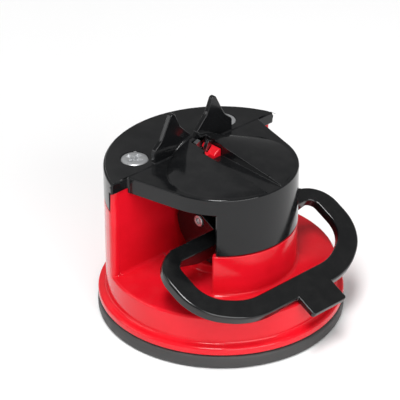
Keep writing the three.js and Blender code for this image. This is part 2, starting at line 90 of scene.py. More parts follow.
# ---------- shaping helpers ----------
def arc(radius, start, end):
    """Points on an arc: its two ends, and every whole step of angle between them."""
    low, high = min(start, end), max(start, end)
    first, last = math.floor(low / ARC_STEP) + 1, math.ceil(high / ARC_STEP) - 1
    angles = [low, *[k * ARC_STEP for k in range(first, last + 1)], high]
    if start > end:
        angles.reverse()
    return [(radius * math.cos(math.radians(a)), radius * math.sin(math.radians(a))) for a in angles]


def rounded(corners, closed=True, steps=5):
    """An outline through (x, y) or (x, y, radius) corners, each corner turned on its own radius."""
    points = []
    count = len(corners)
    for i, corner in enumerate(corners):
        here = Vector(corner[:2])
        radius = corner[2] if len(corner) > 2 else 0.0
        if radius == 0.0 or (not closed and i in (0, count - 1)):
            points.append(here)
            continue
        back = (Vector(corners[i - 1][:2]) - here).normalized()
        ahead = (Vector(corners[(i + 1) % count][:2]) - here).normalized()
        if abs(back.cross(ahead)) < 1e-4:
            points.append(here)
            continue
        half = back.angle(ahead) / 2
        centre = here + (back + ahead).normalized() * radius / math.sin(half)
        start = here + back * radius / math.tan(half) - centre
        sweep = (math.pi - 2 * half) * (-1 if back.cross(ahead) > 0 else 1)
        for k in range(steps + 1):
            turn = Matrix.Rotation(sweep * k / steps, 2)
            points.append(centre + turn @ start)
    return [(p.x, p.y) for p in points]


def mirrored(corners):
    """Corners on the -Y side, and the same corners on the +Y side."""
    return [*corners, *[(c[0], -c[1], *c[2:]) for c in reversed(corners)]]


def outward(points):
    """How far each point moves, and where to, when the outline grows by one."""
    moves = []
    for i, p in enumerate(points):
        here = Vector(p)
        before = (here - Vector(points[i - 1])).normalized()
        after = (Vector(points[(i + 1) % len(points)]) - here).normalized()
        normal = Vector((before.y, -before.x)) + Vector((after.y, -after.x))
        normal.normalize()
        moves.append(normal / max(0.5, normal.dot(Vector((after.y, -after.x)))))
    return moves


def swept(rings):
    """A solid through rings of matching points, closed by a face at each end."""
    bm = bmesh.new()
    order = bm.verts.layers.int.new("order")
    first = []
    for i, point in enumerate(rings[0]):
        vert = bm.verts.new(point)
        vert[order] = i
        first.append(vert)
    face = bottom = bm.faces.new(first)
    for ring in rings[1:]:
        made = bmesh.ops.extrude_face_region(bm, geom=[face])["geom"]
        if face is not bottom:
            bm.faces.remove(face)
        face = next(g for g in made if isinstance(g, bmesh.types.BMFace))
        for vert in face.verts:
            vert.co = ring[vert[order]]
    bmesh.ops.recalc_face_normals(bm, faces=bm.faces)
    return bm


def lift(outline, levels):
    """A solid raised from an outline through (growth, height) levels."""
    area = sum(a[0] * b[1] - b[0] * a[1] for a, b in zip(outline, [*outline[1:], outline[0]]))
    points = list(outline) if area > 0 else list(reversed(outline))
    moves = outward(points)
    return swept(
        [
            [(p[0] + m.x * growth, p[1] + m.y * growth, height) for p, m in zip(points, moves)]
            for growth, height in levels
        ]
    )


def soft_levels(low, high, low_radius=0.0, high_radius=0.0, steps=4):
    """Levels of a straight wall whose lower and upper edges are turned on a radius."""
    levels = []
    for k in range(steps + 1) if low_radius else []:
        a = math.pi / 2 * k / steps
        levels.append((low_radius * (math.sin(a) - 1), low + low_radius * (1 - math.cos(a))))
    if not low_radius:
        levels.append((0.0, low))
    if not high_radius:
        levels.append((0.0, high))
    for k in range(steps + 1) if high_radius else []:
        a = math.pi / 2 * k / steps
        levels.append((high_radius * (math.cos(a) - 1), high - high_radius * (1 - math.sin(a))))
    return levels


def flared_levels(low, high, radius, steps=4):
    """Levels of a hole cutter whose top widens, which leaves a turned edge round the hole."""
    levels = [(0.0, low)]
    for k in range(steps + 1):
        a = math.pi / 2 * k / steps
        levels.append((radius * (1 - math.cos(a)), high - radius * (1 - math.sin(a))))
    return [*levels, (radius, high + 3.0)]


def footed_levels(low, high, foot, top_radius, steps=4):
    """Levels of a post that stands on a cove of radius foot."""
    levels = [(foot, low - 0.4)]
    for k in range(steps + 1):
        a = math.pi / 2 * k / steps
        levels.append((foot * (1 - math.sin(a)), low + foot * (1 - math.cos(a))))
    return [*levels, *soft_levels(low + foot + 0.1, high, 0.0, top_radius)]


def spun(profile, segments=144):
    """A body turned about Z from a (radius, height) profile."""
    bm = bmesh.new()
    verts = [bm.verts.new((r, 0, z)) for r, z in profile]
    edges = [bm.edges.new(pair) for pair in zip(verts, verts[1:])]
    bmesh.ops.spin(
        bm,
        geom=verts + edges,
        cent=(0, 0, 0),
        axis=(0, 0, 1),
        angle=2 * math.pi,
        steps=segments,
        use_merge=True,
    )
    bmesh.ops.remove_doubles(bm, verts=bm.verts, dist=1e-4)
    bmesh.ops.recalc_face_normals(bm, faces=bm.faces)
    return bm


def block(low, high):
    bm = bmesh.new()
    bmesh.ops.create_cube(bm, size=1.0)
    bmesh.ops.scale(bm, vec=[b - a for a, b in zip(low, high)], verts=bm.verts)
    bmesh.ops.translate(bm, vec=[(a + b) / 2 for a, b in zip(low, high)], verts=bm.verts)
    return bm


def circle(radius, x=0.0, y=0.0, segments=48):
    angles = [2 * math.pi * k / segments for k in range(segments)]
    return [(x + radius * math.cos(a), y + radius * math.sin(a)) for a in angles]


def rod(radius, low, high, x=0.0, y=0.0):
    return lift(circle(radius, x, y), soft_levels(low, high))


def moved(bm, matrix):
    bmesh.ops.transform(bm, matrix=matrix, verts=bm.verts)
    bmesh.ops.recalc_face_normals(bm, faces=bm.faces)
    return bm


ALONG_X = Matrix(((0, 0, 1, 0), (1, 0, 0, 0), (0, 1, 0, 0), (0, 0, 0, 1)))
ALONG_Y = Matrix(((1, 0, 0, 0), (0, 0, 1, 0), (0, 1, 0, 0), (0, 0, 0, 1)))


def shift(x=0.0, y=0.0, z=0.0):
    return Matrix.Translation((x, y, z))


def turn(degrees, axis):
    return Matrix.Rotation(math.radians(degrees), 4, axis)


def as_object(bm, name):
    mesh = bpy.data.meshes.new(name)
    bm.to_mesh(mesh)
    bm.free()
    obj = bpy.data.objects.new(name, mesh)
    bpy.context.scene.collection.objects.link(obj)
    return obj


def combined(body, tools, operation):
    """The body after each tool is joined to it or cut from it."""
    obj = as_object(body, "blank")
    for tool in tools:
        cutter = as_object(tool, "tool")
        step = obj.modifiers.new("step", "BOOLEAN")
        step.operation = operation
        step.solver = "MANIFOLD"
        step.object = cutter
        result = bpy.data.meshes.new_from_object(obj.evaluated_get(bpy.context.evaluated_depsgraph_get()))
        obj.modifiers.clear()
        obj.data = result
        bpy.data.objects.remove(cutter)
    bm = bmesh.new()
    bm.from_mesh(obj.data)
    bpy.data.objects.remove(obj)
    bmesh.ops.remove_doubles(bm, verts=bm.verts, dist=0.002)
    bmesh.ops.dissolve_degenerate(bm, edges=bm.edges, dist=0.002)
    return bm


def join(body, *tools):
    return combined(body, tools, "UNION")


def cut(body, *tools):
    return combined(body, tools, "DIFFERENCE")


def gathered(first, *others):
    """Solids that touch, kept whole, as one mesh."""
    for other in others:
        mesh = bpy.data.meshes.new("gathered")
        other.to_mesh(mesh)
        other.free()
        first.from_mesh(mesh)
        bpy.data.meshes.remove(mesh)
    return first


def finish_piece(name, bm, material, body, replaces, edge=0.0):
    """The shape becomes a named piece of the object, in metres, riding on its body."""
    bmesh.ops.scale(bm, vec=(MM, MM, MM), verts=bm.verts)
    mesh = bpy.data.meshes.new(name)
    bm.to_mesh(mesh)
    bm.free()
    mesh.shade_smooth()
    mesh.set_sharp_from_angle(angle=math.radians(SMOOTH_ANGLE))
    obj = bpy.data.objects.new(name, mesh)
    bpy.context.scene.collection.objects.link(obj)
    mesh.materials.append(material)
    if edge:
        bevel = obj.modifiers.new("turned edges", "BEVEL")
        bevel.width = edge * MM
        bevel.segments = 2
        bevel.limit_method = "ANGLE"
        bevel.angle_limit = math.radians(EDGE_ANGLE)
        bevel.use_clamp_overlap = False
        bevel.harden_normals = False
        bevel.miter_outer = "MITER_ARC"
    if body:
        weigh = obj.modifiers.new("even shading", "WEIGHTED_NORMAL")
        weigh.keep_sharp = True
        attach(obj, body)
    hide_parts(*replaces)
    return obj


# ---------- shader groups ----------
def shader_group(name, inputs, outputs):
    tree = bpy.data.node_groups.new(name, "ShaderNodeTree")
    for label, kind, value in inputs:
        socket = tree.interface.new_socket(label, in_out="INPUT", socket_type=kind)
        socket.default_value = value
    for label, kind in outputs:
        tree.interface.new_socket(label, in_out="OUTPUT", socket_type=kind)
    return tree, tree.nodes.new("NodeGroupInput"), tree.nodes.new("NodeGroupOutput")


def math_node(tree, operation, a, b=None, clamp=False):
    node = tree.nodes.new("ShaderNodeMath")
    node.operation = operation
    node.use_clamp = clamp
    for socket, value in zip(node.inputs, (a, b)):
        if value is None:
            continue
        if isinstance(value, (int, float)):
            socket.default_value = value
        else:
            tree.links.new(value, socket)
    return node.outputs[0]


def ranged(tree, value, low, high, to_low=0.0, to_high=1.0):
    node = tree.nodes.new("ShaderNodeMapRange")
    node.interpolation_type = "SMOOTHSTEP"
    for label, number in (("From Min", low), ("From Max", high), ("To Min", to_low), ("To Max", to_high)):
        if isinstance(number, (int, float)):
            node.inputs[label].default_value = number
        else:
            tree.links.new(number, node.inputs[label])
    tree.links.new(value, node.inputs["Value"])
    return node.outputs["Result"]


def noise(tree, vector, scale, detail=3.0, roughness=0.5):
    node = tree.nodes.new("ShaderNodeTexNoise")
    node.noise_type = "FBM"
    node.inputs["Detail"].default_value = detail
    node.inputs["Roughness"].default_value = roughness
    tree.links.new(vector, node.inputs["Vector"])
    if isinstance(scale, (int, float)):
        node.inputs["Scale"].default_value = scale
    else:
        tree.links.new(scale, node.inputs["Scale"])
    return node.outputs["Fac"]


def object_coordinates(tree):
    return tree.nodes.new("ShaderNodeTexCoord").outputs["Object"]


def edge_wear_and_highlight_group():
    """Where edges stick out: rubbed there, and lit by a painted highlight along them; a bevelled normal
    differs from the plain one there.
    """
    tree, given, result = shader_group(
        "Edge rubbing and painted highlight",
        [
            ("Radius", "NodeSocketFloat", 0.0005),
            ("Amount", "NodeSocketFloat", 0.6),
            ("Patch Scale", "NodeSocketFloat", 220.0),
        ],
        [("Mask", "NodeSocketFloat")],
    )
    bevel = tree.nodes.new("ShaderNodeBevel")
    bevel.samples = 4
    tree.links.new(given.outputs["Radius"], bevel.inputs["Radius"])
    plain = tree.nodes.new("ShaderNodeNewGeometry")
    dot = tree.nodes.new("ShaderNodeVectorMath")
    dot.operation = "DOT_PRODUCT"
    tree.links.new(bevel.outputs["Normal"], dot.inputs[0])
    tree.links.new(plain.outputs["Normal"], dot.inputs[1])
    edge = ranged(tree, dot.outputs["Value"], 0.995, 0.86)
    patches = noise(tree, object_coordinates(tree), given.outputs["Patch Scale"], 4.0, 0.6)
    broken = ranged(tree, patches, 0.42, 0.62)
    tree.links.new(
        math_node(tree, "MULTIPLY", math_node(tree, "MULTIPLY", edge, broken), given.outputs["Amount"]),
        result.inputs["Mask"],
    )
    return tree


def moulded_skin_group():
    """Fine uneven skin of moulded plastic or rubber, and slow drifts of its gloss."""
    tree, given, result = shader_group(
        "Moulded skin",
        [
            ("Grain Scale", "NodeSocketFloat", 2600.0),
            ("Wave Scale", "NodeSocketFloat", 90.0),
            ("Wave Share", "NodeSocketFloat", 0.4),
        ],
        [("Height", "NodeSocketFloat"), ("Gloss Drift", "NodeSocketFloat")],
    )
    where = object_coordinates(tree)
    grain = noise(tree, where, given.outputs["Grain Scale"], 2.0, 0.55)
    wave = noise(tree, where, given.outputs["Wave Scale"], 1.0, 0.4)
    both = math_node(tree, "ADD", grain, math_node(tree, "MULTIPLY", wave, given.outputs["Wave Share"]))
    drift = noise(tree, where, 130.0, 4.0, 0.6)
    tree.links.new(both, result.inputs["Height"])
    tree.links.new(ranged(tree, drift, 0.3, 0.7), result.inputs["Gloss Drift"])
    return tree


def hairline_group():
    """Short fine scratches from wiping and handling."""
    tree, given, result = shader_group(
        "Hairlines",
        [("Density", "NodeSocketFloat", 0.5), ("Scale", "NodeSocketFloat", 1.0)],
        [("Mask", "NodeSocketFloat")],
    )
    where = object_coordinates(tree)
    total = None
    for turn_z, turn_x, stretch in (
        (0.5, 0.2, (60, 1900, 1900)),
        (-0.9, 0.5, (1700, 70, 1700)),
        (1.3, -0.6, (80, 2100, 2100)),
    ):
        mapping = tree.nodes.new("ShaderNodeMapping")
        mapping.inputs["Rotation"].default_value = (turn_x, 0.0, turn_z)
        mapping.inputs["Scale"].default_value = stretch
        tree.links.new(where, mapping.inputs["Vector"])
        line = noise(tree, mapping.outputs["Vector"], given.outputs["Scale"], 1.0, 0.5)
        sharp = ranged(tree, line, 0.69, 0.74)
        total = sharp if total is None else math_node(tree, "MAXIMUM", total, sharp)
    patches = ranged(tree, noise(tree, where, 160.0, 2.0), 0.45, 0.7)
    tree.links.new(
        math_node(tree, "MULTIPLY", math_node(tree, "MULTIPLY", total, patches), given.outputs["Density"]),
        result.inputs["Mask"],
    )
    return tree


def dust_group():
    """Pale dust that settles on faces turned upwards."""
    tree, given, result = shader_group(
        "Settled dust",
        [("Amount", "NodeSocketFloat", 0.1)],
        [("Mask", "NodeSocketFloat")],
    )
    normal = tree.nodes.new("ShaderNodeNewGeometry")
    split = tree.nodes.new("ShaderNodeSeparateXYZ")
    tree.links.new(normal.outputs["Normal"], split.inputs["Vector"])
    up = ranged(tree, split.outputs["Z"], 0.3, 0.95)
    where = object_coordinates(tree)
    cloud = ranged(tree, noise(tree, where, 240.0, 5.0, 0.7), 0.38, 0.72)
    specks = ranged(tree, noise(tree, where, 3400.0, 1.0), 0.7, 0.78)
    fall = math_node(tree, "ADD", math_node(tree, "MULTIPLY", cloud, 0.5), specks, clamp=True)
    tree.links.new(
        math_node(tree, "MULTIPLY", math_node(tree, "MULTIPLY", up, fall), given.outputs["Amount"]),
        result.inputs["Mask"],
    )
    return tree


DUST_COLOUR = (0.42, 0.41, 0.39)
EDGE_WEAR_AND_HIGHLIGHT = edge_wear_and_highlight_group()
MOULDED_SKIN = moulded_skin_group()
HAIRLINES = hairline_group()
DUST = dust_group()


def placed(tree, group, **values):
    node = tree.nodes.new("ShaderNodeGroup")
    node.node_tree = group
    for label, value in values.items():
        node.inputs[label.replace("_", " ").title()].default_value = value
    return node


def colour_mix(tree, mask, first, second):
    node = tree.nodes.new("ShaderNodeMix")
    node.data_type = "RGBA"
    tree.links.new(mask, node.inputs[0])
    for socket, value in ((node.inputs[6], first), (node.inputs[7], second)):
        if isinstance(value, tuple):
            socket.default_value = (*value, 1.0)
        else:
            tree.links.new(value, socket)
    return node.outputs[2]


def finish_material(
    name, base, drifted, worn_and_highlight, dust, rough, skin, wear_and_highlight, scratches, metallic=0.0, ior=1.5
):
    """A finish: drifting base colour, edges lighter from rubbing and a painted highlight, hairlines, dust,
    uneven gloss and fine relief.

    rough is (low, high); skin is (grain scale, wave scale, wave share, bump distance in mm);
    wear_and_highlight is (radius in mm, amount) of the lighter edges, partly rubbed and partly a painted
    highlight, and worn_and_highlight is their colour; scratches is a density.
    """
    material = bpy.data.materials.new(name)
    material.use_nodes = True
    tree = material.node_tree
    shader = tree.nodes["Principled BSDF"]
    shader.inputs["Metallic"].default_value = metallic
    shader.inputs["IOR"].default_value = ior
    surface = placed(tree, MOULDED_SKIN, grain_scale=skin[0], wave_scale=skin[1], wave_share=skin[2])
    edges = placed(tree, EDGE_WEAR_AND_HIGHLIGHT, radius=wear_and_highlight[0] * MM, amount=wear_and_highlight[1])
    lines = placed(tree, HAIRLINES, density=scratches)
    settled = placed(tree, DUST, amount=dust)
    drift = surface.outputs["Gloss Drift"]
    colour = colour_mix(tree, drift, base, drifted)
    # edges take a lighter colour: partly rubbed plastic or plating, partly a painted highlight along the
    # edge
    colour = colour_mix(tree, edges.outputs["Mask"], colour, worn_and_highlight)
    colour = colour_mix(tree, settled.outputs["Mask"], colour, DUST_COLOUR)
    tree.links.new(colour, shader.inputs["Base Color"])
    gloss = ranged(tree, drift, 0.0, 1.0, rough[0], rough[1])
    for layer, share, clamp in ((lines, 0.22, False), (edges, 0.12, False), (settled, 0.4, True)):
        dulled = math_node(tree, "MULTIPLY", layer.outputs["Mask"], share)
        gloss = math_node(tree, "ADD", gloss, dulled, clamp=clamp)
    tree.links.new(gloss, shader.inputs["Roughness"])
    grooves = math_node(tree, "MULTIPLY", lines.outputs["Mask"], 0.6)
    height = math_node(tree, "SUBTRACT", surface.outputs["Height"], grooves)
    bump = tree.nodes.new("ShaderNodeBump")
    bump.inputs["Strength"].default_value = 1.0
    bump.inputs["Distance"].default_value = skin[3] * MM
    tree.links.new(height, bump.inputs["Height"])
    tree.links.new(bump.outputs["Normal"], shader.inputs["Normal"])
    return material


RED = finish_material(
    "red gloss plastic",
    base=(0.74, 0.0075, 0.019), drifted=(0.69, 0.0062, 0.015), worn_and_highlight=(0.82, 0.06, 0.08),
    dust=0.03, rough=(0.12, 0.18), skin=(1500.0, 60.0, 1.2, 0.0016),
    wear_and_highlight=(0.35, 0.35), scratches=0.4, ior=1.42,
)
BLACK = finish_material(
    "black satin plastic",
    base=(0.0055, 0.0058, 0.0064), drifted=(0.007, 0.0073, 0.008), worn_and_highlight=(0.06, 0.062, 0.064),
    dust=0.02, rough=(0.1, 0.16), skin=(1900.0, 70.0, 0.8, 0.0014),
    wear_and_highlight=(0.3, 0.35), scratches=0.4, ior=1.42,
)
LEVER_BLACK = finish_material(
    "black gloss plastic",
    base=(0.0045, 0.0048, 0.0052), drifted=(0.006, 0.0062, 0.0066), worn_and_highlight=(0.05, 0.05, 0.052),
    dust=0.02, rough=(0.1, 0.17), skin=(1700.0, 70.0, 0.9, 0.0016),
    wear_and_highlight=(0.35, 0.4), scratches=0.45,
)
RUBBER = finish_material(
    "suction rubber",
    base=(0.034, 0.0345, 0.0345), drifted=(0.044, 0.0445, 0.044), worn_and_highlight=(0.07, 0.07, 0.068),
    dust=0.15, rough=(0.5, 0.68), skin=(2300.0, 320.0, 0.5, 0.014),
    wear_and_highlight=(0.5, 0.5), scratches=0.3,
)
# the pale edge colour paints bright highlights on the cross recess and head edges, besides rubbed plating
ZINC = finish_material(
    "zinc plated steel",
    base=(0.66, 0.67, 0.68), drifted=(0.52, 0.53, 0.54), worn_and_highlight=(0.85, 0.86, 0.86),
    dust=0.02, rough=(0.2, 0.36), skin=(1600.0, 500.0, 0.9, 0.012),
    wear_and_highlight=(0.2, 0.7), scratches=1.0,
    metallic=0.75,
)
SPRING = finish_material(
    "spring steel",
    base=(0.42, 0.43, 0.44), drifted=(0.32, 0.32, 0.33), worn_and_highlight=(0.6, 0.6, 0.6),
    dust=0.02, rough=(0.25, 0.38), skin=(2600.0, 400.0, 0.5, 0.004),
    wear_and_highlight=(0.2, 0.4), scratches=0.7,
    metallic=1.0,
)
CARBIDE = finish_material(
    "ground carbide",
    base=(0.24, 0.245, 0.255), drifted=(0.19, 0.195, 0.2), worn_and_highlight=(0.5, 0.51, 0.52),
    dust=0.02, rough=(0.2, 0.34), skin=(3200.0, 300.0, 0.4, 0.003),
    wear_and_highlight=(0.12, 0.8), scratches=1.0,
    metallic=1.0,
)
NYLON = finish_material(
    "dark nylon",
    base=(0.02, 0.021, 0.022), drifted=(0.026, 0.027, 0.028), worn_and_highlight=(0.07, 0.07, 0.072),
    dust=0.05, rough=(0.36, 0.48), skin=(1500.0, 200.0, 0.6, 0.006),
    wear_and_highlight=(0.25, 0.5), scratches=0.5,
)


# ---------- rubber cup ----------
def suction_cup():
    profile = rounded(
        [
            (0.0, 3.9),
            (6.0, 3.8, 8.0),
            (12.0, 3.0, 20.0),
            (18.0, 1.87, 20.0),
            (23.0, 0.86, 20.0),
            (26.2, 0.22, 0.8),
            (26.5, 0.42, 0.1),
            (26.8, 0.14, 0.1),
            (27.3, 0.30, 0.1),
            (27.7, 0.0, 0.2),
            (31.0, 0.0, 0.9),
            (31.1, 1.75, 0.02),
            (31.0, 3.6, 0.9),
            (26.0, 3.6, 3.0),
            (22.0, 3.9, 3.0),
            (16.0, 5.25, 6.0),
            (11.0, 6.3, 2.0),
            (9.6, 6.6, 0.4),
            (0.0, 6.6),
        ],
        closed=False,
        steps=4,
    )
    cup = finish_piece("suction_cup_rubber", spun(profile, 180), RUBBER, None, ["suction_cup"])
    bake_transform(cup)
    return cup


# ---------- red housing ----------
def sector(inner, outer, half, corner=0.0):
    """The outline of a curved wall about Z, centred on +X."""
    outside = arc(outer, -half, half)
    inside = arc(inner, half, -half)
    if not corner:
        return [*outside, *inside]
    trim = math.degrees(corner / outer)
    outside = arc(outer, -half + trim, half - trim)
    inside = arc(inner, half - trim * outer / inner, -half + trim * outer / inner)
    ends = []
    for sign in (1, -1):
        a = math.radians(half * sign)
        along = Vector((math.cos(a), math.sin(a)))
        ends.append([tuple(along * (outer - corner)), tuple(along * (inner + corner))])
    first = ends[0]
    last = [ends[1][1], ends[1][0]]
    return [*outside, *first, *inside, *last]


def eased(start, knee, end, steps=6):
    """A soft corner from start to end, drawn towards the knee."""
    shares = [i / steps for i in range(steps + 1)]
    return [
        tuple((1 - t) ** 2 * a + 2 * t * (1 - t) * k + t * t * b for a, k, b in zip(start, knee, end))
        for t in shares
    ]


def disc_behind(radius, face, corner=0.0):
    """The outline of the part of a disc behind the plane x = face."""
    half = math.degrees(math.acos(-face / radius))
    if not corner:
        return arc(radius, 180 - half, 180 + half)
    trim = math.degrees(corner / radius)
    height = radius * math.sin(math.radians(half))
    points = arc(radius, 180 - half + trim, 180 + half - trim)
    first = eased((face, height - corner), (face, height), points[0])
    last = eased(points[-1], (face, -height), (face, -height + corner))
    return [*first[:-1], *points, *last[1:]]


def stem_outline(gap, steps=10):
    radius, flat = 4.9 + gap, 3.6 + gap
    half = math.degrees(math.asin(flat / radius))
    points = []
    for centre in (0, 180):
        for k in range(steps + 1):
            a = math.radians(centre - half + 2 * half * k / steps)
            points.append((radius * math.cos(a), radius * math.sin(a)))
    return points


def housing():
    hollow = BASE_R - 2.4
    ceiling = TIER_TOP - 1.8
    shell = spun(
        rounded(
            [
                (0.0, ceiling),
                (hollow - 0.5, ceiling, 0.4),
                (hollow, FLANGE_LOW, 0.2),
                (FLANGE_R - 0.05, FLANGE_LOW, 0.45),
                (FLANGE_R, FLANGE_TOP, 0.75),
                (BASE_R, FLANGE_TOP + 0.1, 0.8),
                (BASE_R - 0.12, TIER_TOP, 0.75),
                (0.0, TIER_TOP),
            ],
            closed=False,
            steps=6,
        ),
        180,
    )
    sunk = TIER_TOP - 0.8
    pillar_r = BASE_R - 0.06
    plan = disc_behind(pillar_r, PILLAR_FACE, PILLAR_CORNER)
    pillar = lift(plan, soft_levels(sunk, SKIRT_LOW - JOINT, 0.0, 0.2))
    spigot = lift(disc_behind(BASE_R - 1.5, PILLAR_FACE, 1.2), soft_levels(sunk, 37.5, 0.0, 0.2))
    # the pillar's wall runs on down into the tier's, and its front corners run up to the cap's lip
    band = cut(lift(plan, [(0.0, FLANGE_TOP + 2.0), (0.0, TIER_TOP - 0.4)]), rod(hollow, 0.0, ceiling))
    corners = combined(
        lift(plan, soft_levels(sunk + 2.0, LIP_LOW - 0.2, 0.0, 0.2)),
        [block((SKIRT_FACE + JOINT, -40, 0), (0, 40, CAP_TOP))],
        "INTERSECT",
    )
    reach = math.sqrt(pillar_r**2 - PILLAR_FACE**2) - PILLAR_CORNER - 0.1
    foot = 0.9
    cove = moved(
        lift(
            [
                (PILLAR_FACE - 0.3, TIER_TOP - 0.4),
                (PILLAR_FACE + foot, TIER_TOP - 0.4),
                *[
                    (PILLAR_FACE + foot - foot * math.sin(a), TIER_TOP + foot - foot * math.cos(a))
                    for a in [math.pi / 2 * k / 6 for k in range(7)]
                ],
                (PILLAR_FACE - 0.3, TIER_TOP + foot),
            ],
            [(0.0, -reach), (0.0, reach)],
        ),
        ALONG_Y,
    )
    column = lift(sector(17.0, COLUMN_R, 50.0, 0.35), footed_levels(TIER_TOP, COLUMN_TOP - 0.15, 0.8, 0.2))
    boss = lift(
        circle(4.2, COLUMN_SCREW_X, segments=60),
        footed_levels(TIER_TOP, COLUMN_TOP - 0.15, 0.5, 0.2),
    )
    pad = lift(circle(PAD_R, segments=90), footed_levels(TIER_TOP, PAD_TOP, 0.5, 0.35))
    collar = rod(6.2, ceiling - 2.0, ceiling + 0.5)
    made = join(shell, spigot, pillar, band, corners, cove, column, boss, pad, collar)
    made = cut(
        made,
        lift(stem_outline(JOINT), [(0.0, 0.0), (0.0, CAP_TOP)]),
        rod(2.6, 0.0, TIER_TOP + 0.8, COLUMN_SCREW_X),
        rod(1.7, 0.0, CAP_TOP, COLUMN_SCREW_X),
    )
    return finish_piece("housing_shell", made, RED, "base", ["base_housing"], edge=0.14)


# ---------- black cap ----------
def cap_outline():
    face, reach = PILLAR_FACE + 0.3, 21.9
    rear = math.degrees(math.acos(-face / BASE_R))
    corner = math.hypot(face, reach)
    touch = math.degrees(math.atan2(-reach, face) + math.acos(COLUMN_R / corner))
    side = rounded([(face, -24.5), (face, -reach, 0.5), (0.0, -20.2)], closed=False, steps=6)[:-1]
    far = [(x, -y) for x, y in reversed(side)]
    trim = 0.7
    height = BASE_R * math.sin(math.radians(rear))
    return [
        (face, -height + 0.35),
        *side,
        *arc(COLUMN_R, touch, -touch),
        *far,
        (face, height - 0.35),
        *arc(BASE_R, 180 - rear + trim, 180 + rear - trim),
    ]


def tent():
    """The hump: an arch at the fins that spreads into a low tent and fades out along the front rim."""
    foot = [
        (-10.3, 7.0), (-10.0, 7.27), (-8.8, 9.2), (-7.6, 10.8), (-6.0, 12.6), (-4.2, 14.2),
        (-2.4, 15.4), (-1.0, 16.1), (1.0, 16.8), (3.0, 17.2), (5.0, 17.1), (8.0, 16.1),
        (10.0, 15.0), (12.0, 13.5), (14.0, 11.4), (16.0, 8.5), (17.3, 5.4), (18.2, 3.0),
    ]
    at_fins, at_rim = HUMP_CREST
    rings = []
    for x, half in foot:
        along = (x - PILLAR_FACE) / HUMP_LENGTH
        crest = at_fins + (at_rim - at_fins) * max(0.0, along)
        step = 0.25 * max(0.0, 1 - along * 3.0)
        rise = crest - step
        radius = (half**2 + rise**2) / (2 * rise)
        arch = []
        for k in range(49):
            y = -half + 2 * half * k / 48
            arch.append((x, y, CAP_TOP + crest - radius + math.sqrt(radius**2 - y**2)))
        rings.append([(x, -half, CAP_TOP - 1.0), *arch, (x, half, CAP_TOP - 1.0)])
    return swept(rings)


def fin_outline():
    side = [
        (-13.0, CAP_TOP - 1.0),
        (-13.0, CAP_TOP + 3.4, 1.2),
        (-10.5, CAP_TOP + 5.5, 4.0),
        (-6.8, CAP_TOP + 12.8, 0.85),
        (-4.6, CAP_TOP + 7.6, 3.0),
        (-2.6 * NOTCH_SLOPE, NOTCH_Z + 2.6, 0.6),
    ]
    far = [(-c[0], *c[1:]) for c in reversed(side)]
    return rounded([*side, (0.0, NOTCH_Z), *far], steps=6)


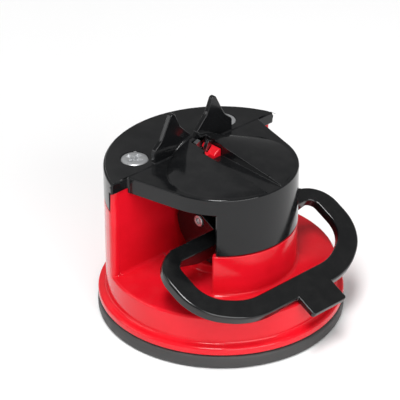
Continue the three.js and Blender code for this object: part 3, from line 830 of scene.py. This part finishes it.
def cap():
    plate = lift(cap_outline(), soft_levels(FASCIA_LOW, CAP_TOP, 0.22, 0.5))
    skirt = lift(disc_behind(BASE_R, PILLAR_FACE), soft_levels(SKIRT_LOW, CAP_TOP - 1.0, 0.2))
    column = lift(sector(17.0, COLUMN_R, 47.5, 0.3), soft_levels(COLUMN_TOP + 0.15, CAP_TOP - 1.0, 0.2))
    boss = rod(3.6, COLUMN_TOP + 0.15, CAP_TOP - 1.0, COLUMN_SCREW_X)
    body = join(plate, skirt, column)
    hollow = lift(disc_behind(BASE_R - 1.2, PILLAR_FACE + 0.35), [(0.0, 0.0), (0.0, LIP_LOW)])
    fascia = [p for p in cap_outline() if p[0] > PILLAR_FACE + 1.2]
    under = lift(fascia, [(-2.0, 0.0), (-2.0, CAP_TOP - 2.2)])
    # the hollow under the fascia leaves the column wall standing
    under = cut(under, lift(sector(16.9, COLUMN_R + 1, 48.5), [(0.0, -5.0), (0.0, CAP_TOP)]))
    ends = [
        block((SKIRT_FACE, low, 0), (PILLAR_FACE + 0.9, low + 8.0, LIP_LOW))
        for low in (-30.0, 22.0)
    ]
    body = cut(body, hollow, under, *ends)
    plateau = lift(
        disc_behind(BASE_R - 0.5, PILLAR_FACE + 0.2, 0.4),
        soft_levels(CAP_TOP - 0.6, CAP_TOP + 0.14, 0.0, 0.1),
    )
    body = join(body, boss, plateau)

    fins = lift(fin_outline(), soft_levels(-1.3, 0.0, 0.2, 0.2, 3))
    fins = moved(fins, shift(PILLAR_FACE) @ ALONG_X)
    inside_rim = lift(cap_outline(), [(-0.45, CAP_TOP - 2.0), (-0.45, CAP_TOP + 20)])
    hump = combined(tent(), [inside_rim], "INTERSECT")
    bead_r = 0.45
    around = [2 * math.pi * k / 12 for k in range(13)]
    bead = spun([(ARCH_R + bead_r * math.cos(a), bead_r * math.sin(a)) for a in around])
    bead = moved(bead, shift(PILLAR_FACE + 0.22, 0, CAP_TOP - 5.8) @ turn(90, "Y"))

    front, back = WINDOW_X
    middle = (front + back) / 2
    frame_ring = block((front - 1.5, -4.1, CAP_TOP - 3.9), (back + 1.5, 4.1, CAP_TOP - 1.2))
    clamp_screws = (-CLAMP_SCREW_Y, CLAMP_SCREW_Y)
    cap_screws = (-CAP_SCREW_Y, CAP_SCREW_Y)
    posts = [rod(2.2, CAP_TOP - 3.9, CAP_TOP - 1.7, middle, y) for y in clamp_screws]
    body = join(body, fins, hump, frame_ring, *posts)

    wedge = [(0.0, NOTCH_Z), (20 * NOTCH_SLOPE, NOTCH_Z + 20), (-20 * NOTCH_SLOPE, NOTCH_Z + 20)]
    notch = moved(lift(wedge, [(0, -5.0), (0, 2.2)]), shift(PILLAR_FACE) @ ALONG_X)
    trough = [
        (-2.3, CAP_TOP - 0.15, 0.4),
        (2.3, CAP_TOP - 0.15, 0.15),
        (2.6, CAP_TOP + 9),
        (-6.5, CAP_TOP + 9),
    ]
    channel = moved(lift(rounded(trough), [(0.0, back - 0.5), (0.0, 40.0)]), ALONG_X)
    seat_levels = flared_levels(CAP_TOP - 1.25, CAP_TOP + 0.25, 0.15)
    seats = [lift(circle(3.55, CAP_SCREW_X, y), seat_levels) for y in cap_screws]
    body = cut(
        body,
        block((front, -WINDOW_HALF, CAP_TOP - 14), (back, WINDOW_HALF, CAP_TOP + 20)),
        notch,
        channel,
        *seats,
        *[rod(1.9, 0.0, CAP_TOP + 5, CAP_SCREW_X, y) for y in cap_screws],
        *[rod(0.95, 0.0, CAP_TOP - 0.7, middle, y) for y in clamp_screws],
        rod(1.6, 0.0, CAP_TOP - 5.2, COLUMN_SCREW_X),
        rod(4.5, 0.0, COLUMN_TOP + 0.15, COLUMN_SCREW_X),
    )
    # the bead on the arch stops at the plate below and at the V above
    bead = cut(
        bead,
        block((-40, -40, 0), (40, 40, CAP_TOP - 0.3)),
        block((-40, -1.0, 0), (40, 1.0, CAP_TOP + 20)),
    )
    body = gathered(body, bead)
    return finish_piece("cap_moulding", body, BLACK, "base", ["top_cap"], edge=0.16)


# ---------- cutter ----------
def carbide_blank(side, gap=0.0, above=0.0):
    """One carbide plate, or with a gap the slot for it; the two cross behind one another."""
    half, deep, drop, reach = 0.6, 1.5, 1.1, 3.1
    low = (-half - gap, -deep - gap, -drop - reach - gap)
    bm = block(low, (half + gap, gap, -drop + reach + gap + above))
    bm = moved(bm, turn(21.0, "X"))
    if side > 0:
        bm = moved(bm, turn(180.0, "Z"))
    x = WINDOW_X[0] + 0.25 + half + (1.4 if side > 0 else 0.0)
    return moved(bm, shift(x, 0, NOTCH_Z + JOINT))


def cutter():
    gap, v_half = 0.15, 1.5
    half = WINDOW_HALF - gap
    top, bottom = CAP_TOP + 1.6, CAP_TOP - 3.9
    outline = rounded(
        [
            (-half, bottom),
            (half, bottom),
            (half, top, 0.35),
            (v_half, top, 0.35),
            (0.0, NOTCH_Z - 0.9, 0.3),
            (-v_half, top, 0.35),
            (-half, top, 0.35),
        ]
    )
    levels = soft_levels(WINDOW_X[0] + gap, WINDOW_X[1] - gap, 0.25, 0.25, 3)
    body = moved(lift(outline, levels), ALONG_X)
    body = cut(body, carbide_blank(-1, gap, 6.0), carbide_blank(1, gap, 6.0))
    finish_piece("cutter_carrier", body, RED, "base", ["cutter_block"], edge=0.08)
    for name, side in (("front", -1), ("rear", 1)):
        plate = carbide_blank(side)
        bmesh.ops.bevel(
            plate, geom=plate.edges[:], offset=0.1, offset_type="OFFSET", segments=2,
            profile=0.5, affect="EDGES", material=-1,
        )
        finish_piece(f"scraper_plate_{name}", plate, CARBIDE, "base", [f"carbide_plate_{name}"])


# ---------- screws ----------
def pan_screw(head, height, shank, length):
    """A cross-recess screw, head up, with its seat at height 0 and a threaded shank."""
    threads = []
    z = -length + 1.6
    while z < -2.4:
        threads += [(shank, z, 0.05), (shank * 0.8, z + 0.3, 0.05), (shank, z + 0.6, 0.05)]
        z += 0.9
    body = spun(
        rounded(
            [
                (0.0, -length),
                (shank * 0.3, -length, 0.1),
                (shank * 0.85, -length + shank, 0.2),
                *threads,
                (shank, -2.0, 0.1),
                (shank, 0.0, 0.1),
                (head, 0.0, 0.1),
                (head, height * 0.72, 0.2),
                (head * 0.9, height * 0.93, 0.5),
                (head * 0.7, height, 1.0),
                (0.0, height),
            ],
            closed=False,
            steps=4,
        ),
        72,
    )
    arm, width, deep = head * 0.6, head * 0.15, height * 0.2
    flanks = [(-0.3, deep), (0.12, height), (0.2, height + 1)]
    recess = [
        lift([(-x, -y), (x, -y), (x, y), (-x, y)], flanks) for x, y in ((arm, width), (width, arm))
    ]
    return cut(body, *recess, rod(head * 0.24, deep - 0.1, height + 1))


def screws():
    for name, y, angle in (("front", -CAP_SCREW_Y, 12.0), ("rear", CAP_SCREW_Y, 37.0)):
        screw = pan_screw(head=3.45, height=1.45, shank=1.5, length=14.0)
        screw = moved(screw, shift(CAP_SCREW_X, y, CAP_TOP - 1.15) @ turn(angle, "Z"))
        replaced = [f"cap_screw_{name}"]
        finish_piece(f"cap_screw_{name}_plated", screw, ZINC, "base", replaced, edge=0.05)


# ---------- lifting stem ----------
def stem_and_pin():
    body = lift(stem_outline(0.0), soft_levels(8.8, PIN_Z + 4.0, 0.2, 0.5))
    bore = moved(rod(PIN_R + 0.08, -20.0, 20.0), shift(0, 0, PIN_Z) @ turn(90, "X"))
    body = cut(body, rod(2.55, 0.0, 17.7), bore)
    finish_piece("stem_moulding", body, NYLON, "stem", ["lift_stem"], edge=0.15)
    end, radius = 7.9, PIN_R
    profile = rounded(
        [
            (0.0, -end + 0.55),
            (radius * 0.45, -end + 0.55, 0.1),
            (radius * 0.55, -end, 0.12),
            (radius, -end, 0.25),
            (radius, end, 0.25),
            (radius * 0.55, end, 0.12),
            (radius * 0.45, end - 0.55, 0.1),
            (0.0, end - 0.55),
        ],
        closed=False,
        steps=4,
    )
    pin = moved(spun(profile, 64), shift(0, 0, PIN_Z) @ turn(90, "X"))
    finish_piece("cross_pin_turned", pin, ZINC, "stem", ["cross_pin"])


def spring():
    """Two turns of wire between the cup's disc and the underside of the tier."""
    wire, coil = 0.4, 7.5
    low, high = 9.2, 10.9
    bm = bmesh.new()
    bmesh.ops.create_circle(
        bm, cap_ends=True, segments=14, radius=wire, matrix=shift(coil, 0, low) @ turn(90, "X"),
    )
    bmesh.ops.spin(
        bm, geom=[*bm.verts, *bm.edges, *bm.faces], cent=(0, 0, 0), axis=(0, 0, 1),
        dvec=(0, 0, (high - low) / 120), angle=4 * math.pi, steps=120,
    )
    bmesh.ops.remove_doubles(bm, verts=bm.verts, dist=1e-5)
    bmesh.ops.recalc_face_normals(bm, faces=bm.faces)
    made = finish_piece("return_spring_wire", bm, SPRING, None, ["return_spring"])
    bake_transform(made)


# ---------- cam lever ----------
def cam_outline():
    """The cam's working face is an involute, so the stem moves evenly with the lever's angle."""
    reach = PIN_Z - PAD_TOP - 0.25
    lift_height, quarter = 2.5, math.pi / 2
    rate = lift_height / quarter
    tilt = math.radians(TILT)

    def on_top(s):
        return (
            s * math.cos(tilt) + LEVER_TOP * math.sin(tilt),
            -s * math.sin(tilt) + LEVER_TOP * math.cos(tilt),
        )

    points = [(5.0, -reach), on_top(8.8), on_top(-4.0)]
    crown_z = -3.3
    released = reach - lift_height
    crown = math.hypot(released, -rate - crown_z)
    start = math.atan2(on_top(-4.0)[1] - crown_z, on_top(-4.0)[0])
    end = math.atan2(-rate - crown_z, -released)
    for k in range(1, 16):
        a = start + (end - start) * k / 16
        points.append((crown * math.cos(a), crown_z + crown * math.sin(a)))
    for k in range(32, -1, -1):
        a = quarter * k / 32
        distance = reach - rate * a
        x = -distance * math.sin(a) + rate * math.cos(a)
        points.append((x, -distance * math.cos(a) - rate * math.sin(a)))
    return points


def lever():
    top, under = LEVER_TOP, LEVER_TOP - 2.7
    outer = rounded(mirrored([(4.8, -28.6, 8.0), (22.8, -28.6, 14.0), (31.2, -16.6, 20.0)]), steps=14)
    inner = rounded(mirrored([(8.8, -23.1, 2.5), (20.5, -23.1, 8.5), (25.7, -14.1, 14.0)]), steps=10)
    loop = cut(
        lift(outer, soft_levels(under, top, 0.5, 0.75, 5)),
        lift(inner, flared_levels(under - 5.0, top, 0.55)),
        lift(inner, [(0.45, under - 5.0), (0.45, under), (0.0, under + 0.45), (0.0, under + 1.0)]),
    )
    tab = lift(
        rounded([(29.0, -1.7), (37.0, -1.7, 0.8), (37.0, 9.7, 0.8), (29.0, 9.7)], steps=5),
        soft_levels(top - 1.6, top - 0.02, 0.3, 0.3, 3),
    )
    cam_inner, cam_outer = CAM_FACES
    arms = []
    for side in (-1, 1):
        outline = rounded(
            [
                (side * cam_inner, top - 0.05),
                (side * 22.1, top - 0.05),
                (side * 22.1, under),
                (side * 14.0, top - 6.0, 2.0),
                (side * cam_inner, top - 6.0),
            ]
        )
        arms.append(moved(lift(outline, soft_levels(4.8, 8.8, 0.4, 0.4, 3)), ALONG_X))
    bar = cut(loop, block((0, -cam_inner, under - 5), (9.3, cam_inner, top + 5)))
    bar = moved(join(bar, *arms), turn(TILT, "Y"))
    cams = [
        moved(lift(cam_outline(), soft_levels(y, y + cam_outer - cam_inner, 0.25, 0.25, 3)), ALONG_Y)
        for y in (-cam_outer, cam_inner)
    ]
    bore = moved(rod(PIN_R + 0.12, -20.0, 20.0), turn(90, "X"))
    floor = TIER_TOP + JOINT - PIN_Z
    tier = lift(arc(BASE_R + JOINT, -74, 74), [(0, floor - 20), (0, floor)])
    body = cut(join(bar, *cams), bore, tier)
    body = moved(join(body, moved(tab, turn(TILT, "Y"))), shift(0, 0, PIN_Z))
    return finish_piece("lever_moulding", body, LEVER_BLACK, "lever", ["lever"], edge=0.18)


suction_cup()
housing()
cap()
cutter()
screws()
stem_and_pin()
spring()
lever()

# ---------- frame pieces that keep their own shape ----------
for node, material in (
    ("cup_disc", NYLON),
    ("pin_washer_front", ZINC),
    ("pin_washer_rear", ZINC),
    ("cutter_clamp", ZINC),
    ("clamp_screw_front", ZINC),
    ("clamp_screw_rear", ZINC),
    ("column_screw", ZINC),
):
    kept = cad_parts[node]
    kept.data.materials.clear()
    kept.data.materials.append(material)


# ---------- floor, light and camera ----------
TARGET = Vector((0, 0, 0.02))


def floor():
    bm = bmesh.new()
    bmesh.ops.create_grid(bm, x_segments=8, y_segments=8, size=6.0)
    mesh = bpy.data.meshes.new("floor")
    bm.to_mesh(mesh)
    bm.free()
    obj = bpy.data.objects.new("floor", mesh)
    bpy.context.scene.collection.objects.link(obj)
    material = bpy.data.materials.new("pale floor")
    material.use_nodes = True
    tree = material.node_tree
    shader = tree.nodes["Principled BSDF"]
    shader.inputs["Roughness"].default_value = 0.9
    shader.inputs["Specular IOR Level"].default_value = 0.1
    shade = noise(tree, object_coordinates(tree), 3.0, 2.0)
    colour = colour_mix(tree, shade, (0.97, 0.97, 0.97), (0.95, 0.95, 0.95))
    tree.links.new(colour, shader.inputs["Base Color"])
    mesh.materials.append(material)


def direction(azimuth, elevation):
    """From the object outwards; azimuth 0 is -Y and 90 is +X, both in degrees."""
    a, e = math.radians(azimuth), math.radians(elevation)
    return Vector((math.cos(e) * math.sin(a), -math.cos(e) * math.cos(a), math.sin(e)))


def softbox(name, azimuth, elevation, distance, size, radiance):
    """A rectangular softbox turned towards the object."""
    light = bpy.data.lights.new(name, "AREA")
    light.shape = "RECTANGLE"
    light.size, light.size_y = size
    light.energy = radiance * math.pi * size[0] * size[1]
    obj = bpy.data.objects.new(name, light)
    bpy.context.scene.collection.objects.link(obj)
    way = direction(azimuth, elevation)
    obj.location = TARGET + way * distance
    obj.rotation_euler = way.to_track_quat("Z", "Y").to_euler()


def studio():
    softbox("key softbox", 35, 68, 1.15, (0.26, 0.7), 19.0)
    softbox("front fill", 75, 22, 1.4, (1.2, 0.8), 3.9)
    softbox("left fill", -35, 22, 1.5, (0.9, 0.6), 2.2)
    softbox("rear fill", 258, 42, 1.5, (1.3, 0.9), 0.17)
    world = bpy.data.worlds.new("studio air")
    bpy.context.scene.world = world
    world.use_nodes = True
    background = world.node_tree.nodes["Background"]
    background.inputs["Color"].default_value = (1, 1, 1, 1)
    background.inputs["Strength"].default_value = 0.22


def camera():
    azimuth, elevation, distance = 46.5, 31.28, 0.55
    way = direction(azimuth, elevation)
    right = direction(azimuth + 90, 0)
    up = way.cross(right)
    data = bpy.data.cameras.new("camera")
    data.lens = 198.5
    data.sensor_width = 36.0
    data.clip_start = 0.01
    obj = bpy.data.objects.new("camera", data)
    bpy.context.scene.collection.objects.link(obj)
    obj.location = TARGET + way * distance
    aside, above = 0.00534, 0.00804
    aim = TARGET - right * aside + up * above
    obj.rotation_euler = (obj.location - aim).to_track_quat("Z", "Y").to_euler()
    bpy.context.scene.camera = obj


floor()
studio()
camera()
bpy.context.scene.view_settings.view_transform = "Standard"
